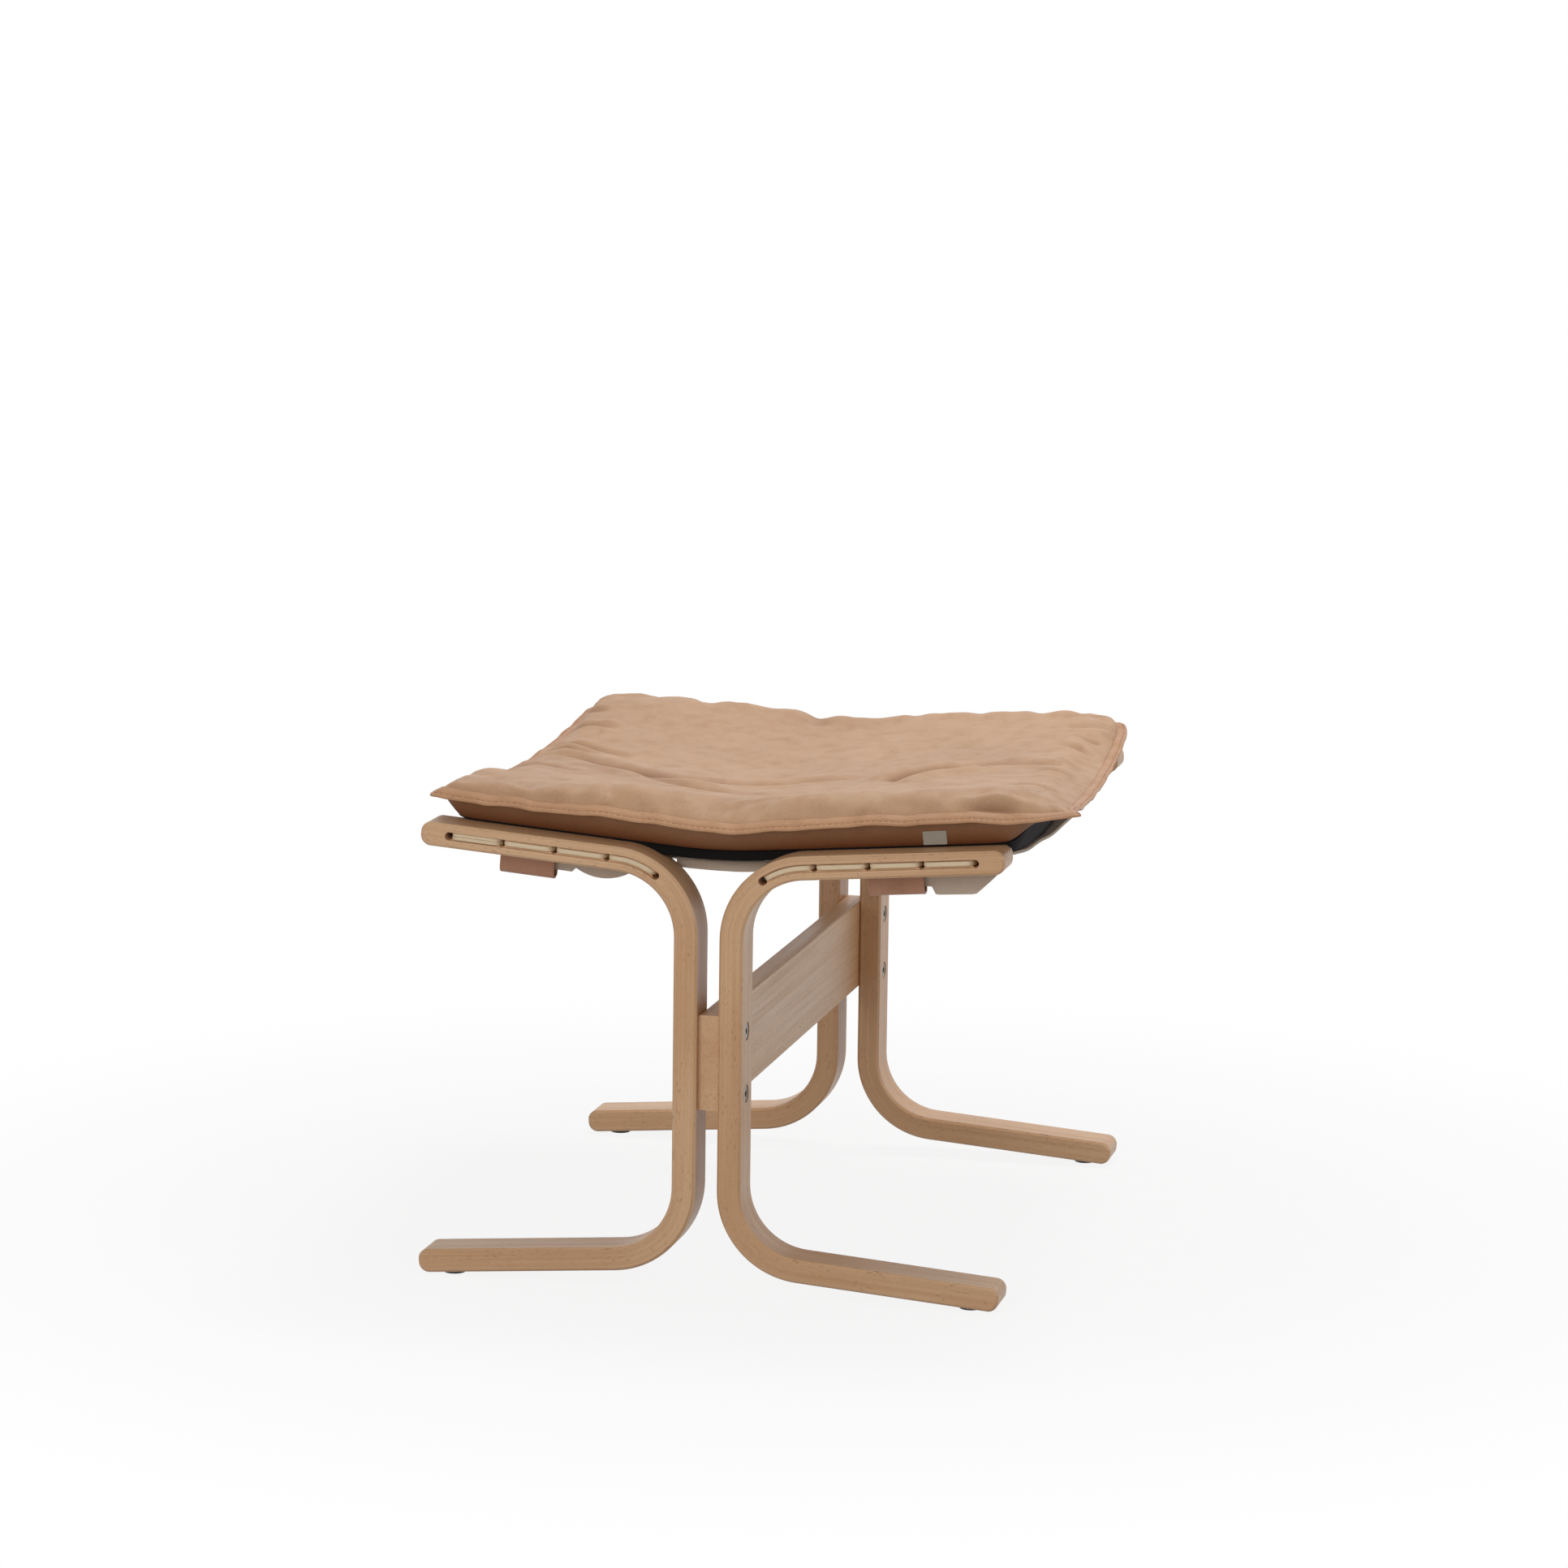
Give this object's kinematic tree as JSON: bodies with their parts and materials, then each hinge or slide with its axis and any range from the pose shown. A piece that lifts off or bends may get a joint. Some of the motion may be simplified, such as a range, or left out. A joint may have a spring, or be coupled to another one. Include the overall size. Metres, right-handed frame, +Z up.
{
  "type": "footstool",
  "caption": "Footstool with C-shaped side frames of bent laminated beech, a laced canvas sling and a loose tan leather cushion strapped to it",
  "frame": {"origin": "On the floor, under the middle of the whole stool's box", "axes": "+X to the right across the four arms, +Y from the near side frame to the far one, +Z up"},
  "size_m": [0.546, 0.6, 0.4363],
  "materials": {
    "beech": "clear satin lacquer",
    "steel": "zinc-plated",
    "cord": "waxed flat cord",
    "canvas": "plain weave",
    "filling": "wadding",
    "leather": "soft aniline",
    "black_cloth": "plain weave",
    "tab_tape": "woven tape",
    "glide": "moulded"
  },
  "bodies": {
    "root": {"leg_near_left": "beech", "leg_near_right": "beech", "leg_far_left": "beech", "leg_far_right": "beech", "stretcher": "beech", "connector_bolts": "steel", "sleeve_nuts": "steel", "lacing_near_left": "cord", "lacing_near_right": "cord", "lacing_far_left": "cord", "lacing_far_right": "cord", "hem_rod_near_left": "steel", "hem_rod_near_right": "steel", "hem_rod_far_left": "steel", "hem_rod_far_right": "steel", "canvas_sling": "canvas", "cushion_filling": "filling", "cushion_cover": "leather", "cushion_base_cloth": "black_cloth", "seam_flange": "leather", "strap_near_left": "leather", "strap_near_right": "leather", "strap_far_left": "leather", "strap_far_right": "leather", "strap_studs": "steel", "side_tab": "tab_tape", "glide_near_left": "glide", "glide_near_right": "glide", "glide_far_left": "glide", "glide_far_right": "glide"}
  },
  "joints": []
}
